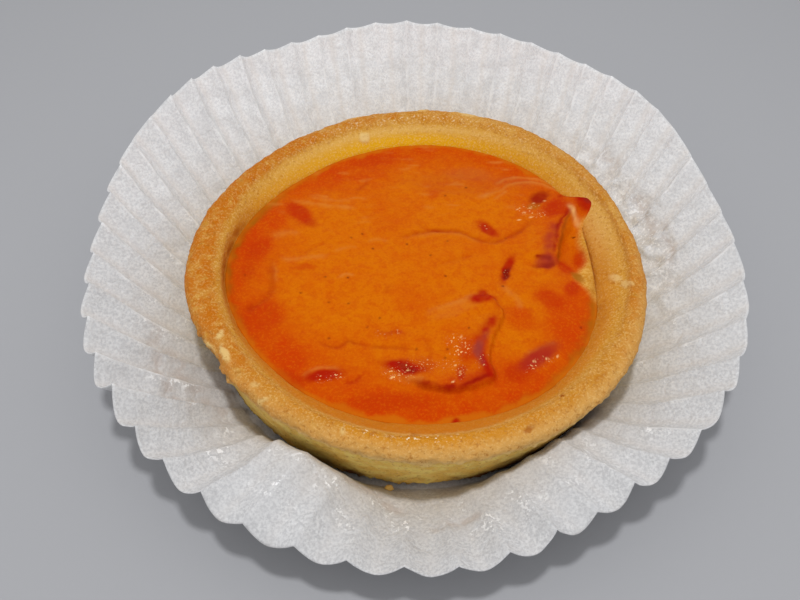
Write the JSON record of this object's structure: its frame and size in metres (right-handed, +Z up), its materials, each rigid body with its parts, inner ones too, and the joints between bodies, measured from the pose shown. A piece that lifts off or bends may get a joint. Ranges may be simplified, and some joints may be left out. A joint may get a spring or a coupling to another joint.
{
  "type": "sweet potato pie",
  "caption": "Small round sweet potato pie with a smooth thick-rimmed pastry shell and glossy baked filling, sitting in its opened fluted paper case.",
  "frame": {"origin": "on the pie's axis, at the underside of the paper case where it rests", "axes": "+Z up out of the pie's top; -Y towards the side where the paper case is opened flattest, +Y towards the side where it stands highest"},
  "size_m": [0.1267, 0.1285, 0.0286],
  "materials": {
    "pastry": "baked golden shortcrust, sandy and dry, darker along the rim, with a thin glaze in front",
    "custard": "glossy baked sweet potato custard skin, orange, browned to dark red on its folds and blisters",
    "paper": "thin white greaseproof paper with a faint cloudy fibre pattern, matt"
  },
  "bodies": {
    "root": {"crust": "pastry", "filling": "custard", "paper_case": "paper"}
  },
  "joints": []
}
